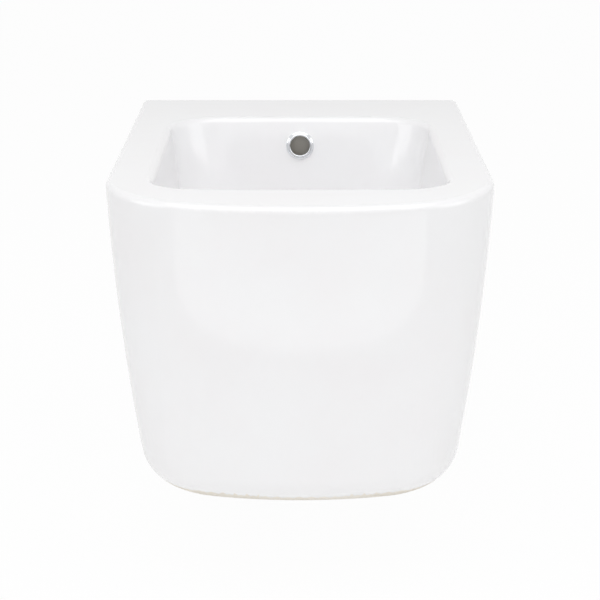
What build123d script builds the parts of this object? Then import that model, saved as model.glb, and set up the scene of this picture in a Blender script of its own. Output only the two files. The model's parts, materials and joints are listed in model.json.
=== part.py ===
from build123d import *
import os
from math import asin, atan2, cos, radians, sin, sqrt, tan

# Wall-hung bidet: a slip-cast vitreous china shell on two wall studs, with an overflow,
# a press-to-close waste and a tubular trap that leads to the wall.
# Sizes are in millimetres. The origin lies on the face of the finished wall, midway
# between the two studs. +Z is up, +Y points into the wall and the front faces -Y.

# Outside of the china shell
body_width = 360.0
body_depth = 500.0
body_height = 300.0
deck_above_studs = 80.0
side_lean_top = 2.0
side_lean_bottom = 10.5
corner_radius_top = 115.0
corner_radius_bottom = 80.0
front_bow = 8.0
base_edge_radius = 38.0
deck_edge_radius = 7.0
wall_edge_radius = 3.0
loft_stations = 5

# Thicknesses of the china
side_thickness = 10.0
deck_thickness = 12.0
rear_thickness = 14.0
base_thickness = 10.0

# Bowl
rear_deck_depth = 104.0
front_rim_depth = 63.0
side_rim_width = 46.0
bowl_depth = 135.0
bowl_draft = 8.0
bowl_rear_corner = 54.0
bowl_front_corner = 38.0
bowl_floor_corner = 66.0
bowl_rim_radius = 9.0
bowl_floor_dome = 900.0
bowl_floor_fillet = 40.0
bowl_thickness = 10.0
drain_from_wall = 245.0

# Overflow hole and the duct that leads it to the drain
overflow_below_deck = 30.0
overflow_hole_radius = 12.25
duct_width = 34.0
duct_gap = 12.0
duct_wall = 9.0
duct_above_hole = 14.0

# Drain boss under the bowl
drain_recess_radius = 34.0
drain_recess_depth = 3.0
drain_bore_radius = 23.0
drain_boss_radius = 40.0
drain_boss_depth = 40.0
ring_channel_radius = 30.0
ring_channel_margin = 2.0

# Openings for fitting the trap and the nuts
service_width = 210.0
service_reach = 360.0
service_corner = 40.0
arch_below_studs = 40.0
arch_corner = 30.0

# Stud holes and their pads
stud_spacing = 180.0
stud_hole_radius = 8.0
stud_pad_radius = 24.0
stud_pad_depth = 16.0

# Overflow trim ring
ring_outer_radius = 15.0
ring_hole_radius = 10.85
ring_sleeve_radius = 12.0
ring_sleeve_length = 13.0
ring_stand_out = 2.6
ring_roll = 1.2

# Waste fitting, with a 1 1/4 inch pipe thread
waste_thread_radius = 20.95
waste_bore_radius = 18.0
waste_flange_radius = 31.5
waste_flange_thickness = 2.5
waste_flange_fall = 1.2
waste_mouth_radius = 22.0
waste_mouth_depth = 12.0
waste_neck_radius = 22.7
waste_neck_depth = 6.0
flange_seal_thickness = 1.5
flange_seal_inner_radius = 24.5
window_below_seat = 10.0
window_height = 12.0
window_width = 15.0
window_count = 4
tail_below_boss = 31.0
lower_gasket_thickness = 4.0
lower_gasket_radius = 32.0
slip_washer_thickness = 1.5
slip_washer_radius = 31.0
backnut_height = 9.0
backnut_across_flats = 52.0
crossbar_below_boss = 1.0
crossbar_width = 9.0
crossbar_height = 8.0
crossbar_hub_radius = 8.0

# Plug and its press-to-close mechanism, shown raised
plug_travel = 9.0
plug_closed_gap = 0.4
plug_cap_radius = 31.0
plug_cap_edge = 1.8
plug_cap_rise = 3.4
plug_seal_thickness = 6.0
plug_seal_clearance = 0.35
plug_seal_groove = 1.2
plug_neck_radius = 8.3
plug_screw_radius = 3.0
plug_screw_length = 3.0
plug_collar_radius = 12.0
plug_collar_thickness = 1.5
plug_shaft_radius = 4.0
plunger_radius = 5.35
plunger_length = 7.0
rotor_height = 5.0
rotor_teeth = 6
tooth_depth = 1.2
barrel_radius = 7.5
barrel_bore_radius = 5.6
barrel_clear_of_collar = 0.9
barrel_lip = 1.5
barrel_floor = 2.0
barrel_screw_radius = 4.0
spring_wire_radius = 0.45
spring_coil_radius = 4.4
spring_turns = 6

# Trap, of 32 mm pipe with hand-tight nuts
pipe_radius = 16.0
pipe_wall = 1.8
pipe_flange_radius = 19.5
pipe_flange_thickness = 3.0
flat_washer_thickness = 3.0
cone_washer_thickness = 4.0
socket_radius = 22.0
socket_depth = 18.0
socket_floor = 3.0
socket_thread_length = 12.0
nut_wall = 4.5
nut_lip = 4.0
nut_rib_radius = 1.6
nut_rib_count = 12
union_nut_thread = 14.0
nut_clearance = 2.0
inlet_to_dip_nut_gap = 4.0
trap_bend_radius = 32.0
trap_leg_above_bend = 2.0
elbow_radius = 28.0
outlet_below_boss = 20.0
elbow_socket_start = 3.0
outlet_behind_wall = 55.0
outlet_mark_from_wall = 1.0
outlet_mark_width = 1.0
outlet_mark_depth = 0.4
pipe_end_chamfer = 1.2
rosette_radius = 35.0
rosette_depth = 8.0
rosette_shell = 1.6

# Wall fixings, M12
stud_radius = 6.0
stud_behind_wall = 70.0
stud_past_nut = 9.0
stud_chamfer = 1.0
stud_shank_radius = 5.4
stud_thread_past_wall = 3.0
stud_thread_before_nut = 8.0
bush_radius = 7.9
bush_flange_radius = 14.0
bush_flange_thickness = 3.0
bush_length = 24.0
washer_radius = 18.0
washer_thickness = 2.5
stud_nut_across_flats = 19.0
stud_nut_height = 10.0

# Clearances
thread_gap = 0.1
slip_gap = 0.2
bush_gap = 0.15
cut_over = 1.0

# Levels and axes that the pieces share
deck_z = deck_above_studs
base_z = deck_z - body_height
drain_y = -drain_from_wall
drain_z = deck_z - bowl_depth
seat_z = drain_z - drain_recess_depth
boss_z = drain_z - drain_boss_depth
flange_z = seat_z + flange_seal_thickness
flange_top_z = flange_z + waste_flange_thickness
window_top_z = seat_z - window_below_seat
window_bottom_z = window_top_z - window_height
gasket_z = boss_z - lower_gasket_thickness
slip_washer_z = gasket_z - slip_washer_thickness
backnut_z = slip_washer_z - backnut_height
tail_z = boss_z - tail_below_boss
crossbar_z = boss_z - crossbar_below_boss
mouth_slope = (waste_mouth_radius - waste_bore_radius) / waste_mouth_depth

# Levels of the plug when it is closed, and of its barrel
cap_closed_z = flange_top_z + plug_closed_gap
seal_closed_z = cap_closed_z - plug_seal_thickness
collar_closed_z = seal_closed_z - plug_collar_thickness
barrel_top_z = collar_closed_z - barrel_clear_of_collar
barrel_floor_z = crossbar_z + barrel_floor
plunger_top_z = barrel_top_z - barrel_lip - slip_gap
plunger_z = plunger_top_z - plunger_length
rotor_z = plunger_z - rotor_height

# Levels of the trap, worked down from the tail of the waste
inlet_nut_top_z = backnut_z - nut_clearance
inlet_flange_z = tail_z - flat_washer_thickness - pipe_flange_thickness
inlet_nut_z = inlet_flange_z - nut_lip
dip_nut_top_z = inlet_nut_z - inlet_to_dip_nut_gap
dip_socket_z = dip_nut_top_z - nut_lip - cone_washer_thickness
bend_z = dip_socket_z - socket_depth - trap_leg_above_bend
rise_y = drain_y + 2 * trap_bend_radius
rise_top_z = bend_z + socket_thread_length
union_flange_z = rise_top_z + flat_washer_thickness
union_lip_z = union_flange_z + pipe_flange_thickness
outlet_z = boss_z - outlet_below_boss
elbow_end_y = rise_y + elbow_radius
outlet_socket_y = elbow_end_y + elbow_socket_start + socket_depth
pipe_bore_radius = pipe_radius - pipe_wall

# Wall fixings, measured out from the wall
pad_face = rear_thickness + stud_pad_depth
washer_face = pad_face + bush_flange_thickness
nut_face = washer_face + washer_thickness


def turned(profile, place=Location()):
    """A solid of revolution about a place's Z axis, from (radius, height) corners."""
    corners = [(radius, 0, height) for radius, height in profile]
    face = make_face(Polyline(*corners, close=True))
    return place * revolve(face, Axis.Z)


def tube(outer, inner, low, high, place=Location()):
    """A plain ring or sleeve."""
    return turned([(inner, low), (outer, low), (outer, high), (inner, high)], place)


def rod(radius, low, high, place=Location()):
    """A plain round bar."""
    return turned([(0, low), (radius, low), (radius, high), (0, high)], place)


def from_wall(x, z):
    """An axis square to the wall, with heights measured out into the room."""
    return Plane((x, 0, z), x_dir=(1, 0, 0), z_dir=(0, -1, 0)).location


def hex_nut(across_flats, height, bore, place):
    """A hexagonal nut with its corners turned off at both faces."""
    corner = across_flats / 2 / cos(radians(30))
    edge = corner - across_flats / 2
    prism = extrude(RegularPolygon(corner, 6), height)
    blank = turned([
        (0, 0),
        (across_flats / 2, 0),
        (corner, edge / 2),
        (corner, height - edge / 2),
        (across_flats / 2, height),
        (0, height),
    ])
    return place * ((prism & blank) - rod(bore, -cut_over, height + cut_over))


def grip_nut(thread, lip_bore, length, place):
    """A ribbed plastic nut. Its open end is at height 0 and its inner lip at the far end."""
    outer = thread + nut_wall
    nut = turned([
        (thread + thread_gap, 0),
        (outer, 0),
        (outer, length - nut_lip / 2),
        (outer - nut_lip / 2, length),
        (lip_bore, length),
        (lip_bore, length - nut_lip),
        (thread + thread_gap, length - nut_lip),
    ])
    rib = rod(nut_rib_radius, 0, length - nut_lip)
    return place * (nut + PolarLocations(outer - nut_rib_radius / 2, nut_rib_count) * rib)


def side_inset(drop):
    """How far the side has drawn in at a drop below the deck. The lean grows steadily."""
    top = tan(radians(side_lean_top))
    bottom = tan(radians(side_lean_bottom))
    return drop * top + drop**2 * (bottom - top) / (2 * body_height)


def body_outline(drop, inward, rear_y):
    """The plan at a drop below the deck: straight sides, round front corners, bowed front."""
    inset = side_inset(drop) + inward
    half = body_width / 2 - inset
    front = body_depth - inset
    shrink = (corner_radius_top - corner_radius_bottom) * drop / body_height
    corner = corner_radius_top - shrink - inward
    corner_x = half - corner
    bow_radius = (corner_x**2 + front_bow**2) / (2 * front_bow) + corner
    bow_y = front - bow_radius
    corner_y = bow_y + sqrt((bow_radius - corner) ** 2 - corner_x**2)
    reach = bow_radius / (bow_radius - corner)
    join_x = corner_x * reach
    join_y = bow_y + (corner_y - bow_y) * reach
    middle = atan2(join_y - corner_y, join_x - corner_x) / 2
    middle_x = corner_x + corner * cos(middle)
    middle_y = corner_y + corner * sin(middle)
    z = deck_z - drop
    rear_left = (-half, rear_y, z)
    rear_right = (half, rear_y, z)
    side_left = (-half, -corner_y, z)
    side_right = (half, -corner_y, z)
    join_left = (-join_x, -join_y, z)
    join_right = (join_x, -join_y, z)
    edges = [
        Line(rear_left, rear_right),
        Line(rear_right, side_right),
        ThreePointArc(side_right, (middle_x, -middle_y, z), join_right),
        ThreePointArc(join_right, (0, -front, z), join_left),
        ThreePointArc(join_left, (-middle_x, -middle_y, z), side_left),
        Line(side_left, rear_left),
    ]
    return Face(Wire(edges))


def body_form(inward, rear_y, top_drop, bottom_drop, edge_radius):
    """The shell's outer form, or the same form drawn in, with its lower edge rounded."""
    step = (bottom_drop - top_drop) / (loft_stations - 1)
    drops = [top_drop + step * station for station in range(loft_stations)]
    form = loft([body_outline(drop, inward, rear_y) for drop in drops])
    base = form.faces().sort_by(Axis.Z)[0]
    return fillet(base.edges().sort_by(Axis.Y)[:-1], edge_radius)


def shell_outside():
    """The outside of the china, flat against the wall and with a softened deck edge."""
    form = body_form(0, wall_edge_radius, 0, body_height, base_edge_radius)
    form = split(form, Plane.XZ, keep=Keep.TOP)
    deck = form.faces().sort_by(Axis.Z)[-1]
    form = fillet(deck.edges().sort_by(Axis.Y)[:-1], deck_edge_radius)
    rear = form.faces().sort_by(Axis.Y)[-1]
    return fillet(rear.edges(), wall_edge_radius)


def bowl_section(depth, grow, rear_corner, front_corner):
    """The bowl's plan at a depth below the deck, grown by a wall."""
    side = grow / cos(radians(bowl_draft)) - depth * tan(radians(bowl_draft))
    width = body_width - 2 * side_rim_width + 2 * side
    length = body_depth - rear_deck_depth - front_rim_depth + 2 * side
    middle_y = -(body_depth + rear_deck_depth - front_rim_depth) / 2
    plan = Rectangle(width, length)
    plan = fillet(plan.vertices().group_by(Axis.Y)[-1], rear_corner + grow)
    plan = fillet(plan.vertices().group_by(Axis.Y)[0], front_corner + grow)
    return Pos(0, middle_y, deck_z - depth) * plan


def bowl_form(grow):
    """The bowl's space as a solid, or the same grown by a wall: a drafted tub with a domed floor."""
    mouth = bowl_section(-cut_over, grow, bowl_rear_corner, bowl_front_corner)
    bottom_depth = bowl_depth + grow + cut_over
    bottom = bowl_section(bottom_depth, grow, bowl_floor_corner, bowl_floor_corner)
    dome = Rot(0, -90, 0) * Sphere(bowl_floor_dome + grow)
    tub = loft([mouth, bottom], ruled=True) & Pos(0, drain_y, drain_z + bowl_floor_dome) * dome
    floor = tub.faces().filter_by(GeomType.SPHERE)[0]
    return fillet(floor.edges(), bowl_floor_fillet + grow)


def bowl_rear_wall():
    """An axis square to the bowl's rear wall at the overflow, pointing into the bowl."""
    lean = radians(bowl_draft)
    y = -(rear_deck_depth + overflow_below_deck * tan(lean))
    origin = (0, y, deck_z - overflow_below_deck)
    return Plane(origin, x_dir=(1, 0, 0), z_dir=(0, -cos(lean), sin(lean))).location


def duct_slab(half_width, top):
    """The slab behind the drain that bounds the overflow duct."""
    height = top - base_z
    length = drain_from_wall - rear_thickness
    slab = Box(2 * half_width, length, height, align=(Align.CENTER, Align.MIN, Align.MAX))
    return Pos(0, drain_y, top) * slab


def overflow_duct():
    """The duct's casing and its passage, both hugging the back of the bowl."""
    top = deck_z - overflow_below_deck + duct_above_hole
    outer = bowl_form(bowl_thickness + duct_gap + duct_wall)
    casing = outer & duct_slab(duct_width / 2 + duct_wall, top + duct_wall)
    passage = bowl_form(bowl_thickness + duct_gap) - bowl_form(bowl_thickness)
    passage = passage & duct_slab(duct_width / 2, top)
    return casing, passage


def service_openings():
    """The arch in the back and the opening underneath, through which the trap is fitted."""
    arch_height = -arch_below_studs - base_z
    arch = Rectangle(service_width, 2 * arch_height)
    arch = fillet(arch.vertices().group_by(Axis.Y)[-1], arch_corner)
    arch_depth = rear_thickness + 2 * cut_over
    back = extrude(from_wall(0, base_z) * Pos(0, 0, -cut_over) * arch, arch_depth)
    under = Rectangle(service_width, 2 * service_reach)
    under = fillet(under.vertices().group_by(Axis.Y)[0], service_corner)
    under = extrude(Pos(0, 0, base_z - cut_over) * under, base_edge_radius + cut_over)
    return back + under


def ceramic_body():
    """The one-piece china shell: skirt, deck, bowl, overflow duct, drain boss and stud pads."""
    at_drain = Pos(0, drain_y, 0)
    bottom_drop = body_height - base_thickness
    inner_edge = base_edge_radius - base_thickness
    hollow = body_form(side_thickness, -rear_thickness, deck_thickness, bottom_drop, inner_edge)
    casing, passage = overflow_duct()
    hollow -= bowl_form(bowl_thickness)
    hollow -= casing
    hollow -= rod(drain_boss_radius, boss_z, drain_z, at_drain)
    for side in (-1, 1):
        axis = from_wall(side * stud_spacing / 2, 0)
        hollow -= rod(stud_pad_radius, rear_thickness - cut_over, pad_face, axis)
    body = shell_outside() - hollow - bowl_form(0) - passage
    deck = body.faces().sort_by(Axis.Z)[-1]
    body = fillet(deck.inner_wires()[0].edges(), bowl_rim_radius)
    body -= service_openings()
    channel_top = window_top_z + ring_channel_margin
    channel_bottom = window_bottom_z - ring_channel_margin
    body -= rod(drain_bore_radius, boss_z - cut_over, drain_z + cut_over, at_drain)
    body -= rod(drain_recess_radius, seat_z, flange_top_z + cut_over, at_drain)
    body -= rod(ring_channel_radius, channel_bottom, channel_top, at_drain)
    reach = bowl_thickness + duct_gap / 2
    body -= rod(overflow_hole_radius, -reach, cut_over, bowl_rear_wall())
    for side in (-1, 1):
        axis = from_wall(side * stud_spacing / 2, 0)
        body -= rod(stud_hole_radius, -cut_over, pad_face + cut_over, axis)
    return body


def overflow_ring():
    """Trim ring: a rolled face on a sleeve that springs into the overflow hole."""
    ring = turned([
        (ring_hole_radius, -ring_sleeve_length),
        (ring_sleeve_radius, -ring_sleeve_length),
        (ring_sleeve_radius, 0),
        (ring_outer_radius, 0),
        (ring_outer_radius, ring_stand_out),
        (ring_hole_radius, ring_stand_out),
    ])
    face = ring.faces().sort_by(Axis.Z)[-1]
    return bowl_rear_wall() * fillet(face.edges(), ring_roll)


def waste_flange_seal():
    return tube(waste_flange_radius, flange_seal_inner_radius, seat_z, flange_z, Pos(0, drain_y, 0))


def waste_body():
    """Flanged tube with overflow windows and a crossbar that carries the plug's barrel."""
    body = turned([
        (waste_bore_radius, tail_z),
        (waste_thread_radius, tail_z),
        (waste_thread_radius, flange_z - waste_neck_depth),
        (waste_neck_radius, flange_z),
        (waste_flange_radius, flange_z),
        (waste_flange_radius, flange_top_z - waste_flange_fall),
        (waste_mouth_radius, flange_top_z),
        (waste_bore_radius, flange_top_z - waste_mouth_depth),
    ])
    window = Box(2 * waste_flange_radius, window_width, window_height)
    for turn in range(window_count // 2):
        body -= Rot(0, 0, 360 * turn / window_count) * Pos(0, 0, window_top_z - window_height / 2) * window
    bar = Box(2 * waste_bore_radius + pipe_wall, crossbar_width, crossbar_height)
    bar = Pos(0, 0, crossbar_z - crossbar_height / 2) * bar
    bar += rod(crossbar_hub_radius, crossbar_z - crossbar_height, crossbar_z)
    bar -= rod(barrel_screw_radius + thread_gap, crossbar_z - 2 * crossbar_height, crossbar_z + cut_over)
    return Pos(0, drain_y, 0) * (body + bar)


def waste_lower_gasket():
    """Rubber gasket with a coned lip that centres it in the drain bore's lower edge."""
    inner = waste_thread_radius + slip_gap
    return turned([
        (inner, gasket_z),
        (lower_gasket_radius, gasket_z),
        (lower_gasket_radius, boss_z),
        (drain_bore_radius - slip_gap, boss_z),
        (inner + slip_gap, boss_z + lower_gasket_thickness / 2),
        (inner, boss_z + lower_gasket_thickness / 2),
    ], Pos(0, drain_y, 0))


def waste_slip_washer():
    inner = waste_thread_radius + slip_gap
    return tube(slip_washer_radius, inner, slip_washer_z, gasket_z, Pos(0, drain_y, 0))


def waste_backnut():
    place = Pos(0, drain_y, backnut_z)
    return hex_nut(backnut_across_flats, backnut_height, waste_thread_radius + thread_gap, place)


def ratchet_teeth(radius):
    """A ring of radial ridges, standing on height 0, that the plunger and its rotor share."""
    outline = Polygon((-tooth_depth, 0), (tooth_depth, 0), (0, tooth_depth), align=None)
    ridge = extrude(Plane.YZ * outline, radius)
    return Part() + PolarLocations(0, rotor_teeth) * ridge


def plug_cap():
    """Domed cap over the waste's mouth, with a blind thread for the stem."""
    z = cap_closed_z + plug_travel
    edge_z = z + plug_cap_edge
    top_z = edge_z + plug_cap_rise
    dome_radius = (plug_cap_radius**2 + plug_cap_rise**2) / (2 * plug_cap_rise)
    half = asin(plug_cap_radius / dome_radius) / 2
    middle = (dome_radius * sin(half), 0, top_z - dome_radius * (1 - cos(half)))
    outline = Polyline((0, 0, top_z), (0, 0, z), (plug_cap_radius, 0, z), (plug_cap_radius, 0, edge_z))
    dome = ThreePointArc((plug_cap_radius, 0, edge_z), middle, (0, 0, top_z))
    cap = revolve(make_face(outline + dome), Axis.Z)
    cap -= rod(plug_screw_radius + thread_gap, z - cut_over, z + plug_screw_length + slip_gap)
    return Pos(0, drain_y, 0) * cap


def plug_seal():
    """Rubber ring that wedges into the waste's coned mouth. Its side has one groove."""
    z = seal_closed_z + plug_travel
    top_z = z + plug_seal_thickness
    top = waste_mouth_radius - plug_seal_clearance
    bottom = top - plug_seal_thickness * mouth_slope
    middle = (top + bottom) / 2
    return turned([
        (plug_neck_radius, z),
        (bottom, z),
        (middle, z + plug_seal_thickness / 2 - plug_seal_groove / 2),
        (middle - plug_seal_groove, z + plug_seal_thickness / 2),
        (middle, z + plug_seal_thickness / 2 + plug_seal_groove / 2),
        (top, top_z),
        (plug_neck_radius, top_z),
    ], Pos(0, drain_y, 0))


def plug_stem():
    """Stem screwed into the cap, with the collar under the seal and the toothed plunger."""
    collar_z = collar_closed_z + plug_travel
    seal_z = seal_closed_z + plug_travel
    cap_z = cap_closed_z + plug_travel
    stem = turned([
        (0, plunger_z),
        (plunger_radius, plunger_z),
        (plunger_radius, plunger_top_z),
        (plug_shaft_radius, plunger_top_z),
        (plug_shaft_radius, collar_z),
        (plug_collar_radius, collar_z),
        (plug_collar_radius, seal_z),
        (plug_neck_radius, seal_z),
        (plug_neck_radius, cap_z),
        (plug_screw_radius, cap_z),
        (plug_screw_radius, cap_z + plug_screw_length),
        (0, cap_z + plug_screw_length),
    ])
    stem -= Pos(0, 0, plunger_z) * ratchet_teeth(plunger_radius)
    return Pos(0, drain_y, 0) * stem


def clicker_rotor():
    """Toothed rotor under the plunger, with a spigot that centres the spring."""
    rotor = rod(plunger_radius, rotor_z, plunger_z)
    spigot = spring_coil_radius - spring_wire_radius - slip_gap
    rotor += rod(spigot, rotor_z - tooth_depth, rotor_z)
    teeth = Pos(0, 0, plunger_z) * ratchet_teeth(plunger_radius)
    return Pos(0, drain_y, 0) * (rotor + (teeth & rod(plunger_radius, plunger_z, plunger_top_z)))


def clicker_barrel():
    """Barrel on the crossbar that guides the plunger, with a lip that stops it at the top."""
    shaft = plug_shaft_radius + slip_gap
    barrel = turned([
        (0, crossbar_z - crossbar_height),
        (barrel_screw_radius, crossbar_z - crossbar_height),
        (barrel_screw_radius, crossbar_z),
        (barrel_radius, crossbar_z),
        (barrel_radius, barrel_top_z),
        (shaft, barrel_top_z),
        (shaft, barrel_top_z - barrel_lip),
        (barrel_bore_radius, barrel_top_z - barrel_lip),
        (barrel_bore_radius, barrel_floor_z),
        (0, barrel_floor_z),
    ])
    return Pos(0, drain_y, 0) * barrel


def clicker_spring():
    """Round-wire compression spring between the barrel's floor and the rotor."""
    length = rotor_z - barrel_floor_z - 2 * spring_wire_radius
    coil = Helix(length / spring_turns, length, spring_coil_radius)
    section = Plane(coil @ 0, z_dir=coil % 0) * Circle(spring_wire_radius)
    wire = sweep(section, coil, is_frenet=True)
    return Pos(0, drain_y, barrel_floor_z + spring_wire_radius) * wire


def trap_inlet_washer():
    place = Pos(0, drain_y, 0)
    return tube(waste_thread_radius, waste_bore_radius, tail_z - flat_washer_thickness, tail_z, place)


def trap_inlet_nut():
    place = Pos(0, drain_y, inlet_nut_top_z) * Rot(180, 0, 0)
    length = inlet_nut_top_z - inlet_nut_z
    return grip_nut(waste_thread_radius, pipe_radius + slip_gap, length, place)


def trap_inlet_tube():
    """Dip tube with a collar that the inlet nut draws up against its washer."""
    top_z = inlet_flange_z + pipe_flange_thickness
    bottom_z = dip_socket_z - socket_depth + socket_floor + slip_gap
    return turned([
        (pipe_bore_radius, bottom_z),
        (pipe_radius, bottom_z),
        (pipe_radius, inlet_flange_z),
        (pipe_flange_radius, inlet_flange_z),
        (pipe_flange_radius, top_z),
        (pipe_bore_radius, top_z),
    ], Pos(0, drain_y, 0))


def cone_washer(place):
    """Rubber washer pressed into a socket's mouth by its nut."""
    return turned([
        (pipe_radius, 0),
        (socket_radius - cone_washer_thickness / 2, 0),
        (socket_radius, cone_washer_thickness),
        (pipe_radius, cone_washer_thickness),
    ], place)


def socket_nut(place):
    """Nut of a slip socket, threaded down over the socket and closed over its washer."""
    length = socket_thread_length + cone_washer_thickness + nut_lip
    return grip_nut(socket_radius, pipe_radius + slip_gap, length, place)


def slip_socket(place):
    """The outside of a socket, reaching down from its mouth at height 0."""
    return rod(socket_radius, -socket_depth, 0, place)


def slip_bore(place):
    """The room that a socket leaves for the pipe pushed into it, and the way on through its floor."""
    room = rod(pipe_radius + slip_gap, socket_floor - socket_depth, cut_over, place)
    return room + rod(pipe_bore_radius, -socket_depth - cut_over, 0, place)


def trap_dip_washer():
    return cone_washer(Pos(0, drain_y, dip_socket_z))


def trap_dip_nut():
    return socket_nut(Pos(0, drain_y, dip_socket_z - socket_thread_length))


def trap_u_bend():
    """The water seal: a socket for the dip tube, a half turn and a threaded rising leg."""
    mouth = Pos(0, drain_y, dip_socket_z)
    inlet = (0, drain_y, dip_socket_z - socket_depth)
    low_inlet = (0, drain_y, bend_z)
    lowest = (0, (drain_y + rise_y) / 2, bend_z - trap_bend_radius)
    low_outlet = (0, rise_y, bend_z)
    outlet = (0, rise_y, rise_top_z)
    path = Line(inlet, low_inlet) + ThreePointArc(low_inlet, lowest, low_outlet) + Line(low_outlet, outlet)
    start = Plane(inlet, z_dir=(0, 0, -1))
    bend = sweep(start * Circle(pipe_radius), path) + slip_socket(mouth)
    bend += rod(socket_radius, bend_z, rise_top_z, Pos(0, rise_y, 0))
    return bend - slip_bore(mouth) - sweep(start * Circle(pipe_bore_radius), path)


def trap_union_washer():
    place = Pos(0, rise_y, rise_top_z)
    return tube(pipe_flange_radius, pipe_bore_radius, 0, flat_washer_thickness, place)


def trap_union_nut():
    place = Pos(0, rise_y, union_lip_z - union_nut_thread - pipe_flange_thickness)
    length = union_nut_thread + pipe_flange_thickness + nut_lip
    return grip_nut(socket_radius, pipe_radius + slip_gap, length, place)


def trap_elbow():
    """The turn towards the wall, with a collar below and a slip socket for the outlet pipe."""
    foot = (0, rise_y, union_flange_z)
    turn_start = (0, rise_y, outlet_z - elbow_radius)
    diagonal = elbow_radius * (1 - cos(radians(45)))
    turn_middle = (0, rise_y + diagonal, outlet_z - diagonal)
    turn_end = (0, elbow_end_y, outlet_z)
    end = (0, outlet_socket_y - socket_depth, outlet_z)
    path = Line(foot, turn_start) + ThreePointArc(turn_start, turn_middle, turn_end) + Line(turn_end, end)
    start = Plane(foot, z_dir=(0, 0, 1))
    mouth = outlet_axis(-outlet_socket_y)
    elbow = sweep(start * Circle(pipe_radius), path) + slip_socket(mouth)
    elbow += rod(pipe_flange_radius, union_flange_z, union_lip_z, Pos(0, rise_y, 0))
    return elbow - slip_bore(mouth) - sweep(start * Circle(pipe_bore_radius), path)


def outlet_axis(distance_out):
    """A place on the outlet pipe's axis with heights that grow towards the wall."""
    return from_wall(0, outlet_z) * Pos(0, 0, distance_out) * Rot(180, 0, 0)


def trap_outlet_washer():
    return cone_washer(outlet_axis(-outlet_socket_y))


def trap_outlet_nut():
    return socket_nut(outlet_axis(socket_thread_length - outlet_socket_y))


def outlet_pipe():
    """Straight pipe into the wall, with a shallow ring that marks the face of the wall."""
    start = outlet_socket_y - socket_depth + socket_floor + slip_gap
    mark = outlet_mark_from_wall
    groove = pipe_radius - outlet_mark_depth
    end = outlet_behind_wall
    return turned([
        (pipe_bore_radius, start),
        (pipe_radius, start),
        (pipe_radius, mark),
        (groove, mark),
        (groove, mark + outlet_mark_width),
        (pipe_radius, mark + outlet_mark_width),
        (pipe_radius, end - pipe_end_chamfer),
        (pipe_radius - pipe_end_chamfer, end),
        (pipe_bore_radius, end),
    ], outlet_axis(0))


def wall_rosette():
    """Dished plate that covers the hole in the wall round the outlet pipe."""
    bore = pipe_radius + slip_gap
    neck = bore + rosette_shell
    return turned([
        (bore, rosette_shell),
        (bore, rosette_depth),
        (neck, rosette_depth),
        (rosette_radius, rosette_shell),
        (rosette_radius, 0),
        (rosette_radius - rosette_shell, 0),
        (neck, rosette_depth - 2 * rosette_shell),
        (neck, rosette_shell),
    ], from_wall(0, outlet_z))


def wall_stud(axis):
    """Double-ended stud: a thread in the wall, a reduced shank through the china, a thread for the nut."""
    inner = nut_face + stud_nut_height + stud_past_nut
    runout = stud_radius - stud_shank_radius
    nut_thread = nut_face - stud_thread_before_nut
    return turned([
        (0, -stud_behind_wall),
        (stud_radius - stud_chamfer, -stud_behind_wall),
        (stud_radius, stud_chamfer - stud_behind_wall),
        (stud_radius, stud_thread_past_wall),
        (stud_shank_radius, stud_thread_past_wall + runout),
        (stud_shank_radius, nut_thread - runout),
        (stud_radius, nut_thread),
        (stud_radius, inner - stud_chamfer),
        (stud_radius - stud_chamfer, inner),
        (0, inner),
    ], axis)


def stud_bush(axis):
    """Flanged plastic bush that keeps the steel off the china."""
    bore = stud_radius + bush_gap
    return turned([
        (bore, pad_face - bush_length),
        (bush_radius, pad_face - bush_length),
        (bush_radius, pad_face),
        (bush_flange_radius, pad_face),
        (bush_flange_radius, washer_face),
        (bore, washer_face),
    ], axis)


def stud_washer(axis):
    return tube(washer_radius, stud_radius + bush_gap, washer_face, nut_face, axis)


def stud_nut(axis):
    place = axis * Pos(0, 0, nut_face)
    return hex_nut(stud_nut_across_flats, stud_nut_height, stud_radius + thread_gap, place)


def fixings():
    """One stud, bush, washer and nut on each side."""
    pieces = {}
    for name, side in (("left", -1), ("right", 1)):
        axis = from_wall(side * stud_spacing / 2, 0)
        pieces["stud_" + name] = wall_stud(axis)
        pieces["bush_" + name] = stud_bush(axis)
        pieces["washer_" + name] = stud_washer(axis)
        pieces["nut_" + name] = stud_nut(axis)
    return pieces


single_pieces = [
    ceramic_body,
    overflow_ring,
    waste_flange_seal,
    waste_body,
    waste_lower_gasket,
    waste_slip_washer,
    waste_backnut,
    clicker_barrel,
    clicker_spring,
    clicker_rotor,
    plug_stem,
    plug_seal,
    plug_cap,
    trap_inlet_washer,
    trap_inlet_nut,
    trap_inlet_tube,
    trap_dip_washer,
    trap_dip_nut,
    trap_u_bend,
    trap_union_washer,
    trap_union_nut,
    trap_elbow,
    trap_outlet_washer,
    trap_outlet_nut,
    outlet_pipe,
    wall_rosette,
]

os.makedirs("parts", exist_ok=True)
nodes = {piece.__name__: piece() for piece in single_pieces}
nodes.update(fixings())
for name, solid in nodes.items():
    export_step(solid, f"parts/{name}.step")
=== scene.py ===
import json
from math import ceil, cos, hypot, pi, radians, sin, sqrt, tan

import bmesh
import bpy
from mathutils import Matrix, Vector


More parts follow.
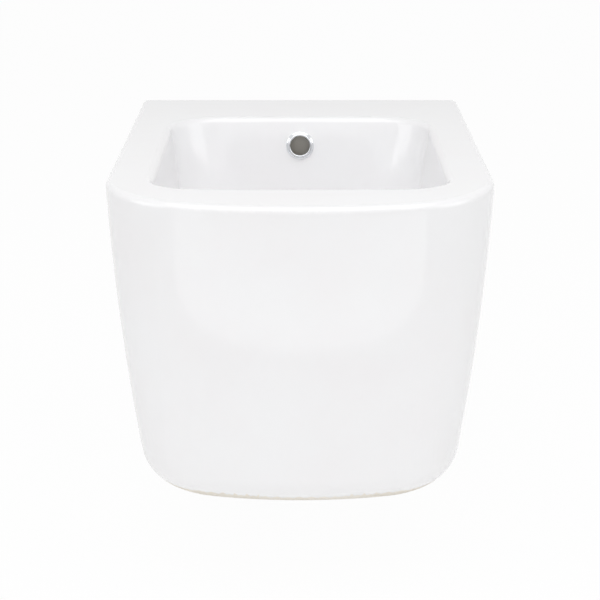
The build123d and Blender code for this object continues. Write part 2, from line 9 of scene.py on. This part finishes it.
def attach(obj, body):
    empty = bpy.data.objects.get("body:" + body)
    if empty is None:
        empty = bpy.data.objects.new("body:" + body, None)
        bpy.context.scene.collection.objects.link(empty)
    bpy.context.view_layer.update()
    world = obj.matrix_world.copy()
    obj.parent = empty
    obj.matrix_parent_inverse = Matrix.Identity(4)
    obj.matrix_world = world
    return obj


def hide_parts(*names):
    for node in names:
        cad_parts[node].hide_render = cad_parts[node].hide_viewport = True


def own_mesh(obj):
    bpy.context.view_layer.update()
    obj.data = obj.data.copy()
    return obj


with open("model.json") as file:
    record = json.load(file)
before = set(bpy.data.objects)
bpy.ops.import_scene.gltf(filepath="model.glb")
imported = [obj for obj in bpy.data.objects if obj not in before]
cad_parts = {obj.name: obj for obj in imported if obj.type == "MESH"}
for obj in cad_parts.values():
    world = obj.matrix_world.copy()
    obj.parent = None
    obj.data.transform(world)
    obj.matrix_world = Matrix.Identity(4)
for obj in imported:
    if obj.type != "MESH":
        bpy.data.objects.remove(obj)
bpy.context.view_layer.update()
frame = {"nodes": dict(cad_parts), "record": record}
nodes = frame["nodes"]
mm = 0.001


# Colours and shader nodes

def colour(code):
    """An sRGB hex value as the linear colour that a shader socket takes."""
    parts = [int(code[i:i + 2], 16) / 255 for i in (1, 3, 5)]
    linear = [p / 12.92 if p <= 0.04045 else ((p + 0.055) / 1.055) ** 2.4 for p in parts]
    return (*linear, 1)


def add(tree, kind, settings=None, links=None):
    """Adds a node. Settings are its properties or unlinked sockets, links the sockets that feed it."""
    node = tree.nodes.new(kind)
    for name, value in (settings or {}).items():
        if isinstance(name, int) or name in node.inputs:
            node.inputs[name].default_value = value
        else:
            setattr(node, name, value)
    for name, source in (links or {}).items():
        tree.links.new(source, node.inputs[name])
    return node


def start_material(name, code, **sockets):
    """A material of one colour and plain values. Gives it with its tree, shader and coordinates."""
    material = bpy.data.materials.new(name)
    material.use_nodes = True
    tree = material.node_tree
    shader = tree.nodes["Principled BSDF"]
    shader.inputs["Base Color"].default_value = colour(code)
    for socket, value in sockets.items():
        shader.inputs[socket.replace("_", " ")].default_value = value
    place = add(tree, "ShaderNodeTexCoord").outputs["Object"]
    return material, tree, shader, place


def glazed_china():
    """Vitreous china: slip cast, sprayed with a white glaze and fired. A glassy coat, a little uneven
    in thickness, over a body that is faintly warmer where the glaze runs thin."""
    material, tree, shader, place = start_material(
        "glazed_vitreous_china", "#f9f8f9", Roughness=0.07, IOR=1.52)
    cloud = add(tree, "ShaderNodeTexNoise", {"Scale": 1 / (85 * mm), "Detail": 3.0},
                {"Vector": place})
    share = add(tree, "ShaderNodeMapRange", {"From Min": 0.35, "From Max": 0.65},
                {"Value": cloud.outputs["Fac"]})
    tint = add(tree, "ShaderNodeMix",
               {"data_type": "RGBA", 6: colour("#f9f8f9"), 7: colour("#fafafb")},
               {"Factor": share.outputs["Result"]})
    tree.links.new(tint.outputs[2], shader.inputs["Base Color"])
    ripple = add(tree, "ShaderNodeTexNoise", {"Scale": 1 / (12 * mm), "Detail": 1.0},
                 {"Vector": place})
    wave = add(tree, "ShaderNodeBump", {"Strength": 0.6, "Distance": 0.02 * mm},
               {"Height": ripple.outputs["Fac"]})
    tree.links.new(wave.outputs["Normal"], shader.inputs["Normal"])
    return material


def bare_china():
    """The same china where no glaze is sprayed: a chalky cream body with the fine grain of the
    plaster mould."""
    material, tree, shader, place = start_material(
        "unglazed_vitreous_china", "#ebe6dc", Roughness=0.85, IOR=1.5)
    patch = add(tree, "ShaderNodeTexNoise", {"Scale": 1 / (60 * mm), "Detail": 5.0},
                {"Vector": place})
    share = add(tree, "ShaderNodeMapRange", {"From Min": 0.3, "From Max": 0.7},
                {"Value": patch.outputs["Fac"]})
    tint = add(tree, "ShaderNodeMix",
               {"data_type": "RGBA", 6: colour("#e4ddd0"), 7: colour("#efebe3")},
               {"Factor": share.outputs["Result"]})
    tree.links.new(tint.outputs[2], shader.inputs["Base Color"])
    grain = add(tree, "ShaderNodeTexNoise", {"Scale": 1 / (1.2 * mm), "Detail": 4.0},
                {"Vector": place})
    rough = add(tree, "ShaderNodeBump", {"Strength": 0.8, "Distance": 0.08 * mm},
                {"Height": grain.outputs["Fac"]})
    tree.links.new(rough.outputs["Normal"], shader.inputs["Normal"])
    return material


def chrome_plate():
    """Bright chrome on polished brass: a mirror, with water marks that dull it in small spots."""
    material, tree, shader, place = start_material(
        "polished_chrome_plate", "#dddfe2", Metallic=1.0, Roughness=0.06)
    spots = add(tree, "ShaderNodeTexNoise", {"Scale": 1 / (4 * mm), "Detail": 4.0},
                {"Vector": place})
    gloss = add(tree, "ShaderNodeMapRange",
                {"From Min": 0.5, "From Max": 0.75, "To Min": 0.05, "To Max": 0.13},
                {"Value": spots.outputs["Fac"]})
    tree.links.new(gloss.outputs["Result"], shader.inputs["Roughness"])
    return material


def turned_brass():
    """Brass left as the lathe leaves it: fine rings, and a tan that has begun to dull in patches."""
    material, tree, shader, place = start_material(
        "turned_brass", "#c9a55c", Metallic=1.0, Roughness=0.28)
    dull = add(tree, "ShaderNodeTexNoise", {"Scale": 1 / (7 * mm), "Detail": 3.0},
               {"Vector": place})
    tint = add(tree, "ShaderNodeMix",
               {"data_type": "RGBA", 6: colour("#cfae66"), 7: colour("#b38d4a")},
               {"Factor": dull.outputs["Fac"]})
    tree.links.new(tint.outputs[2], shader.inputs["Base Color"])
    rings = add(tree, "ShaderNodeTexWave",
                {"bands_direction": "Z", "Scale": 1 / (3 * mm), "Distortion": 0.4},
                {"Vector": place})
    cut = add(tree, "ShaderNodeBump", {"Strength": 0.25, "Distance": 0.02 * mm},
              {"Height": rings.outputs["Fac"]})
    tree.links.new(cut.outputs["Normal"], shader.inputs["Normal"])
    return material


def moulded_rubber():
    """EPDM rubber from a steel mould: nearly black, matt, with a dusty bloom."""
    material, tree, shader, place = start_material(
        "moulded_epdm_rubber", "#1c1c1d", Roughness=0.65, IOR=1.5)
    bloom = add(tree, "ShaderNodeTexNoise", {"Scale": 1 / (5 * mm), "Detail": 4.0},
                {"Vector": place})
    tint = add(tree, "ShaderNodeMix",
               {"data_type": "RGBA", 6: colour("#161617"), 7: colour("#29292a")},
               {"Factor": bloom.outputs["Fac"]})
    tree.links.new(tint.outputs[2], shader.inputs["Base Color"])
    return material


def moulded_plastic(name, code, shade, roughness):
    """An injection-moulded thermoplastic: even colour, a soft sheen and the tool's faint texture."""
    material, tree, shader, place = start_material(name, code, Roughness=roughness, IOR=1.49)
    flow = add(tree, "ShaderNodeTexNoise", {"Scale": 1 / (22 * mm), "Detail": 2.0},
               {"Vector": place})
    tint = add(tree, "ShaderNodeMix", {"data_type": "RGBA", 6: colour(code), 7: colour(shade)},
               {"Factor": flow.outputs["Fac"]})
    tree.links.new(tint.outputs[2], shader.inputs["Base Color"])
    tool = add(tree, "ShaderNodeTexNoise", {"Scale": 1 / (0.9 * mm), "Detail": 3.0},
               {"Vector": place})
    grain = add(tree, "ShaderNodeBump", {"Strength": 0.4, "Distance": 0.02 * mm},
                {"Height": tool.outputs["Fac"]})
    tree.links.new(grain.outputs["Normal"], shader.inputs["Normal"])
    return material


def plain_steel(name, light, dark, roughness, grain):
    """Steel wire or zinc-plated steel: a grey metal whose gloss and tone change in fine patches."""
    material, tree, shader, place = start_material(
        name, light, Metallic=1.0, Roughness=roughness)
    patch = add(tree, "ShaderNodeTexNoise", {"Scale": 1 / grain, "Detail": 4.0},
                {"Vector": place})
    tint = add(tree, "ShaderNodeMix", {"data_type": "RGBA", 6: colour(light), 7: colour(dark)},
               {"Factor": patch.outputs["Fac"]})
    tree.links.new(tint.outputs[2], shader.inputs["Base Color"])
    gloss = add(tree, "ShaderNodeMapRange",
                {"To Min": roughness * 0.75, "To Max": roughness * 1.3},
                {"Value": patch.outputs["Fac"]})
    tree.links.new(gloss.outputs["Result"], shader.inputs["Roughness"])
    return material


finishes = {
    "vitreous_china": glazed_china(),
    "chrome_plate": chrome_plate(),
    "bare_brass": turned_brass(),
    "black_rubber": moulded_rubber(),
    "natural_nylon": moulded_plastic("moulded_nylon", "#e0dbcc", "#d6d0bf", 0.42),
    "spring_steel": plain_steel("drawn_spring_steel", "#94979b", "#7b7e83", 0.26, 0.8 * mm),
    "zinc_plated_steel": plain_steel("zinc_plated_steel", "#bcc0c4", "#a3a8ae", 0.32, 2.5 * mm),
    "white_polypropylene": moulded_plastic("moulded_polypropylene", "#ebebe8", "#e3e3e0", 0.38),
}


def finish(piece, slot_name):
    """Gives a piece the finish of its slot and keeps which faces have another one."""
    if not piece.data.materials:
        piece.data.materials.append(None)
    piece.data.materials[0] = finishes[slot_name]


def stand_in(mesh, name, node, sharp=30):
    """Makes a finished mesh the visible piece for a CAD node."""
    data = bpy.data.meshes.new(name)
    mesh.to_mesh(data)
    mesh.free()
    piece = bpy.data.objects.new(name, data)
    bpy.context.scene.collection.objects.link(piece)
    data.shade_smooth()
    data.set_sharp_from_angle(angle=radians(sharp))
    finish(piece, slot_of[node])
    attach(piece, "root")
    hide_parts(node)
    return piece


slot_of = {row["node"]: row["material_slot"] for row in frame["record"]["subparts"]}
for name, node in nodes.items():
    finish(node, slot_of[name])


# The china shell, in millimetres from the wall and the studs

deck = 80
height = 300
half_width = 180
length = 500
packed_form = {"top": 2.0, "bottom": 10.5, "corner_top": 115, "corner_bottom": 80, "bow": 8}
seen_form = {"top": 2.7, "bottom": 9.0, "corner_top": 110, "corner_bottom": 88, "bow": 7.5}
corner_hub = 376
rim_side = 134
rim_front = 437
rim_rear = 104
rim_roll = 9
bowl_lean = radians(8)
draft = tan(bowl_lean)
bowl_depth = 135
dome_radius = 900
drain_y = -245

# How far the photograph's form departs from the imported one
front_rim_gain = 7
front_rim_bow = 6
side_rim_loss = 2.5
roll_loss = 2
base_lift = 1.2

# Where a change to the form fades in and out, as (place, share of the change)
skirt_fade = [(0.76, 0), (0.9, 1)]
front_rim_fade = [(0.8, 1), (0.97, 0)]
depth_fade = [(0, 1), (bowl_depth + 5, 1), (bowl_depth + 40, 0)]
length_fade = [(60, 0), (rim_rear, 1), (rim_front, 1), (480, 0)]
bowl_middle = 45
rear_start = 60
front_start = 300
base_start = 200
roll_end = 40

# Where the glaze ends
wall_slack = 0.5
opening_side = 106
opening_top = -41
opening_front = 362
back_lip = 15
base_lip = -200
skin = 6
deck_skin = 11
back_skin = 12
bowl_slack = 5
over_bowl = Vector((0, -270, 60))


def between(value, stops):
    """The height at a value on a line through (value, height) stops, level past both ends."""
    for (start, low), (end, high) in zip(stops, stops[1:]):
        if value <= end:
            return low + (high - low) * max(0, value - start) / (end - start)
    return stops[-1][1]


def inset(drop, form):
    """How far the skirt has drawn in at a drop below the deck."""
    top, bottom = tan(radians(form["top"])), tan(radians(form["bottom"]))
    return drop * top + drop * drop * (bottom - top) / (2 * height)


def reach(side, ahead, drop, form):
    """The way from the hub of the front corners to the skirt, in the direction (side, ahead)."""
    half = half_width - inset(drop, form)
    front = length - inset(drop, form)
    corner = form["corner_top"] + (form["corner_bottom"] - form["corner_top"]) * drop / height
    corner_x = half - corner
    bow_radius = (corner_x**2 + form["bow"]**2) / (2 * form["bow"]) + corner
    bow_y = front - bow_radius
    corner_y = bow_y + sqrt((bow_radius - corner)**2 - corner_x**2)
    if side > 0 and corner_hub + ahead * half / side <= corner_y:
        return half / side
    back = corner_hub - bow_y
    way = sqrt((ahead * back)**2 - back**2 + bow_radius**2) - ahead * back
    if side * way <= corner_x * bow_radius / (bow_radius - corner):
        return way
    back = corner_hub - corner_y
    along = ahead * back - side * corner_x
    return sqrt(along**2 - back**2 - corner_x**2 + corner**2) - along


def as_seen(point):
    """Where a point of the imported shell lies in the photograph's form: the skirt's lean and corners,
    a bowed and deeper front rim, narrower side rims, a tighter rim edge and a base a little higher."""
    x, y, z = (value / mm for value in point)
    side, out = abs(x), -y
    drop = min(max(deck - z, 0), height)
    half = half_width - inset(drop, packed_form)
    if out < corner_hub:
        share = side / half
    else:
        way = max(hypot(side, out - corner_hub), 0.001)
        direction = (side / way, (out - corner_hub) / way, drop)
        share = way / reach(*direction, packed_form)
    at_skirt = between(share, skirt_fade)
    new_side, new_out = side, out
    if out < corner_hub:
        new_side += (inset(drop, packed_form) - inset(drop, seen_form)) * at_skirt
    else:
        growth = reach(*direction, seen_form) / reach(*direction, packed_form) - 1
        growth = 1 + growth * at_skirt
        new_side *= growth
        new_out = corner_hub + (out - corner_hub) * growth
    fall = min(drop, bowl_depth) * draft
    edge = rim_side - fall
    front_edge = rim_front - fall
    widen = between(side, [(bowl_middle, 0), (edge, side_rim_loss),
                           (edge + rim_roll, side_rim_loss - roll_loss), (half, 0)])
    bowed = front_rim_gain + front_rim_bow * min(side / rim_side, 1)**2
    deepen = between(out, [(front_start, 0), (front_edge, bowed),
                           (front_edge + rim_roll, bowed + roll_loss), (length, 0)])
    widen *= between(out, length_fade)
    deepen *= between(share, front_rim_fade)
    new_side += widen * between(drop, depth_fade)
    new_out -= deepen * between(drop, depth_fade)
    z += between(drop, [(base_start, 0), (height, base_lift)])
    past_roll = rim_roll + 0.2
    if side < edge + past_roll and rim_rear - past_roll < out < front_edge + past_roll:
        z += between(drop, [(0, 0), (rim_roll, roll_loss), (roll_end, 0)])
        new_out += between(out, [(rear_start, 0), (rim_rear - rim_roll, roll_loss), (rim_rear, 0)])
    return Vector((new_side if x >= 0 else -new_side, -new_out, z)) * mm


def unglazed(face):
    """Whether a face lies on the wall side, in the hollow under the bowl or on an opening's edge."""
    x, y, z = face.calc_center_median() / mm
    side, out = abs(x), -y
    drop = min(max(deck - z, 0), height)
    if out < wall_slack:
        return True
    if side < opening_side and z < opening_top:
        if out < back_lip or (z < base_lip and out < opening_front):
            return True
    if side > half_width - inset(drop, packed_form) - skin or drop < deck_skin:
        return False
    if out > corner_hub:
        way = hypot(side, out - corner_hub)
        if way > reach(side / way, (out - corner_hub) / way, drop, packed_form) - skin:
            return False
    wall = min(drop, bowl_depth) * draft - bowl_slack
    floor = deck - bowl_depth + (side**2 + (y - drain_y)**2) / (2 * dome_radius) - bowl_slack
    in_bowl = side < rim_side - wall and rim_rear + wall < out < rim_front - wall and z > floor
    faces_bowl = face.normal.dot(over_bowl - Vector((x, y, z))) > 0
    return out > back_skin and not (in_bowl and faces_bowl)


def china_shell():
    """The shell in the photograph's form. Cuts across its front let the straight rim take a bow."""
    mesh = bmesh.new()
    mesh.from_mesh(nodes["ceramic_body"].data)
    bmesh.ops.remove_doubles(mesh, verts=mesh.verts, dist=0.002 * mm)
    cuts, spacing = 15, 18
    for step in range(cuts):
        across = (step - cuts // 2) * spacing * mm
        front = [face for face in mesh.faces
                 if min(vert.co.y for vert in face.verts) < -corner_hub * mm]
        parts = {part for face in front for part in (face, *face.edges, *face.verts)}
        bmesh.ops.bisect_plane(mesh, geom=list(parts), dist=0.001 * mm,
                               plane_co=(across, 0, 0), plane_no=(1, 0, 0))
    for face in mesh.faces:
        face.material_index = int(unglazed(face))
    for vert in mesh.verts:
        vert.co = as_seen(vert.co)
    piece = stand_in(mesh, "china_shell", "ceramic_body", sharp=32)
    piece.data.materials.append(bare_china())
    even = piece.modifiers.new("even_gloss", "WEIGHTED_NORMAL")
    even.keep_sharp = True


china_shell()


# Turned pieces

def turned(profile, steps):
    """A closed ring or rod about the Z axis, from its (radius, height) corners in millimetres."""
    mesh = bmesh.new()
    corners = [mesh.verts.new((radius * mm, 0, level * mm)) for radius, level in profile]
    lines = [mesh.edges.new(pair) for pair in zip(corners, corners[1:] + corners[:1])]
    bmesh.ops.spin(mesh, geom=corners + lines, cent=(0, 0, 0), axis=(0, 0, 1), angle=2 * pi,
                   steps=steps, use_merge=True)
    bmesh.ops.remove_doubles(mesh, verts=mesh.verts, dist=0.001 * mm)
    bmesh.ops.recalc_face_normals(mesh, faces=mesh.faces)
    return mesh


def overflow_trim():
    """The chrome ring: a flared foot against the china and a rolled lip round the hole."""
    below_deck = 30
    hole, sleeve, foot = 10.6, 12, 15
    inner_end, flare, stand_out = -13, 0.7, 3.7
    out = Vector((0, -cos(bowl_lean), sin(bowl_lean)))
    across = Vector((1, 0, 0))
    place = Matrix((across, out.cross(across), out)).transposed().to_4x4()
    place.translation = Vector((0, -(rim_rear + below_deck * draft), deck - below_deck)) * mm
    mesh = turned([(hole, inner_end), (sleeve, inner_end), (sleeve, 0), (foot, 0), (foot, flare),
                   (14.1, 1.2), (13.2, 2.1), (12.7, stand_out), (hole, stand_out)], 72)
    rolled = [edge for edge in mesh.edges
              if min(v.co.z for v in edge.verts) > (flare - 0.1) * mm
              and abs(edge.verts[0].co.z - edge.verts[1].co.z) < 0.01 * mm
              and edge.calc_face_angle(0) > radians(12)]
    bmesh.ops.bevel(mesh, geom=rolled, offset=0.55 * mm, affect="EDGES", segments=3, profile=0.5,
                    material=-1)
    mesh.transform(place)
    stand_in(mesh, "overflow_trim", "overflow_ring", sharp=40)


def thread(radius, depth, pitch, low, high):
    """A thread between two heights: a zigzag spun up its own pitch, then cut square at both ends."""
    mesh = bmesh.new()
    root = radius - depth
    steps = 24
    corners = []
    for turn in range(ceil((high - low) / pitch) + 3):
        foot = low + (turn - 2) * pitch
        for share, level in ((0, root), (0.42, radius), (0.52, radius), (0.94, root)):
            corners.append(mesh.verts.new((level * mm, 0, (foot + share * pitch) * mm)))
    lines = [mesh.edges.new(pair) for pair in zip(corners, corners[1:])]
    bmesh.ops.spin(mesh, geom=corners + lines, cent=(0, 0, 0), axis=(0, 0, 1), angle=2 * pi,
                   steps=steps, dvec=(0, 0, pitch / steps * mm))
    bmesh.ops.remove_doubles(mesh, verts=mesh.verts, dist=0.002 * mm)
    for level, way in ((low, -1), (high, 1)):
        cut = bmesh.ops.bisect_plane(
            mesh, geom=mesh.verts[:] + mesh.edges[:] + mesh.faces[:], clear_outer=True,
            plane_co=(0, 0, level * mm), plane_no=(0, 0, way))
        rim = [item for item in cut["geom_cut"] if isinstance(item, bmesh.types.BMEdge)]
        bmesh.ops.edgeloop_fill(mesh, edges=rim)
    bmesh.ops.recalc_face_normals(mesh, faces=mesh.faces)
    end_radius = root - 0.1
    for vert in mesh.verts:
        from_end = min(vert.co.z / mm - low, high - vert.co.z / mm)
        limit = (end_radius + from_end) * mm
        spread = hypot(vert.co.x, vert.co.y)
        if spread > limit:
            vert.co.x *= limit / spread
            vert.co.y *= limit / spread
    return mesh


def wall_stud(side):
    """A stud with its two M12 threads and the plain shank between them."""
    from_middle = 90
    shank, shank_start, shank_end = 5.4, 3, 28
    stud = turned([(0, shank_start), (shank, shank_start), (shank, shank_end), (0, shank_end)], 32)
    for low, high in ((-70, 3.5), (27, 54.5)):
        part = thread(radius=6, depth=0.95, pitch=1.75, low=low, high=high)
        data = bpy.data.meshes.new("thread_part")
        part.to_mesh(data)
        part.free()
        stud.from_mesh(data)
        bpy.data.meshes.remove(data)
    place = Matrix.Translation((side * from_middle * mm, 0, 0)) @ Matrix.Rotation(pi / 2, 4, "X")
    stud.transform(place)
    return stud


def coil_spring():
    """The plug's spring, of round wire, built at its free length; the real one shortens as the plug is
    pressed down.
    """
    turns = 6
    turn_steps = 28
    wire = 0.45
    coil = 4.4
    foot = -94
    free_length = 18.3
    mesh = bmesh.new()
    ring = bmesh.ops.create_circle(mesh, segments=10, radius=wire * mm, cap_ends=True)["verts"]
    place = Matrix.Translation((coil * mm, 0, wire * mm)) @ Matrix.Rotation(pi / 2, 4, "X")
    bmesh.ops.transform(mesh, matrix=place, verts=ring)
    rise = (free_length - 2 * wire) / (turns * turn_steps) * mm
    bmesh.ops.spin(mesh, geom=mesh.faces[:], cent=(0, 0, 0), axis=(0, 0, 1),
                   angle=2 * pi * turns, steps=turns * turn_steps, dvec=(0, 0, rise))
    bmesh.ops.recalc_face_normals(mesh, faces=mesh.faces)
    mesh.transform(Matrix.Translation((0, drain_y * mm, foot * mm)))
    piece = stand_in(mesh, "coil_spring", "clicker_spring", sharp=60)
    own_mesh(piece)


overflow_trim()
stand_in(wall_stud(-1), "threaded_stud_left", "stud_left")
stand_in(wall_stud(1), "threaded_stud_right", "stud_right")
coil_spring()


# Floor, light and camera, in metres and watts

def shown_directly(tree):
    """Is 1 where the camera, a reflection or a view through something meets a surface, else 0."""
    path = add(tree, "ShaderNodeLightPath").outputs
    seen = add(tree, "ShaderNodeMath", {"operation": "MAXIMUM"},
               {0: path["Is Camera Ray"], 1: path["Is Glossy Ray"]}).outputs[0]
    return add(tree, "ShaderNodeMath", {"operation": "MAXIMUM"},
               {0: seen, 1: path["Is Transmission Ray"]}).outputs[0]


def make_floor(level, white_share):
    """A pale floor that looks white and keeps a faint shadow."""
    mesh = bmesh.new()
    bmesh.ops.create_grid(mesh, x_segments=1, y_segments=1, size=6)
    bmesh.ops.translate(mesh, vec=(0, 0, level), verts=mesh.verts)
    data = bpy.data.meshes.new("floor")
    mesh.to_mesh(data)
    mesh.free()
    floor = bpy.data.objects.new("floor", data)
    bpy.context.scene.collection.objects.link(floor)
    material, tree, shader, place = start_material("pale_floor", "#f4f4f4", Roughness=0.6)
    share = add(tree, "ShaderNodeMath", {"operation": "MULTIPLY", 1: white_share},
                {0: shown_directly(tree)})
    white = add(tree, "ShaderNodeEmission", {"Color": colour("#ffffff"), "Strength": 1.0})
    both = add(tree, "ShaderNodeMixShader", None,
               {0: share.outputs[0], 1: shader.outputs[0], 2: white.outputs[0]})
    tree.links.new(both.outputs[0], tree.nodes["Material Output"].inputs["Surface"])
    floor.data.materials.append(material)


def make_world(strength):
    """An even light from all round, seen as plain white."""
    world = bpy.data.worlds.new("studio")
    bpy.context.scene.world = world
    world.use_nodes = True
    tree = world.node_tree
    background = tree.nodes["Background"]
    background.inputs["Color"].default_value = colour("#ffffff")
    level = add(tree, "ShaderNodeMapRange", {"To Min": strength, "To Max": 1.0},
                {"Value": shown_directly(tree)})
    tree.links.new(level.outputs[0], background.inputs["Strength"])


def softbox(name, place, target, size, power):
    """A soft rectangular lamp that faces its target."""
    lamp = bpy.data.lights.new(name, "AREA")
    lamp.shape = "RECTANGLE"
    lamp.size, lamp.size_y = size
    lamp.energy = power
    piece = bpy.data.objects.new(name, lamp)
    piece.location = place
    piece.rotation_euler = (Vector(target) - Vector(place)).to_track_quat("-Z", "Y").to_euler()
    bpy.context.scene.collection.objects.link(piece)


def make_camera():
    """The photograph's camera: in the middle, and looking down at the deck."""
    camera = bpy.data.cameras.new("camera")
    camera.lens = 101.1
    camera.sensor_width = 36.0
    camera.clip_end = 50.0
    piece = bpy.data.objects.new("camera", camera)
    piece.location = (0, -1.9063, 0.4385)
    piece.rotation_euler = (radians(90 - 17.43), 0, 0)
    bpy.context.scene.collection.objects.link(piece)
    bpy.context.scene.camera = piece


bpy.context.scene.view_settings.view_transform = "Standard"
make_floor(level=-0.32, white_share=0.97)
make_world(strength=0.239)
softbox("overhead_softbox", (0, -0.9, 1.6), (0, -0.3, 0), size=(2.4, 1.6), power=23.514)
softbox("front_softbox", (0, -2.6, 0.6), (0, -0.25, -0.1), size=(2.0, 1.4), power=3.049)
softbox("low_softbox", (0, -0.95, -0.3), (0, -0.4, -0.12), size=(1.4, 0.4), power=1.504)
softbox("right_softbox", (1.5, -0.7, 0.5), (0, -0.25, -0.05), size=(1.0, 1.0), power=4.988)
softbox("left_softbox", (-1.5, -0.7, 0.5), (0, -0.25, -0.05), size=(1.0, 1.0), power=4.988)
make_camera()
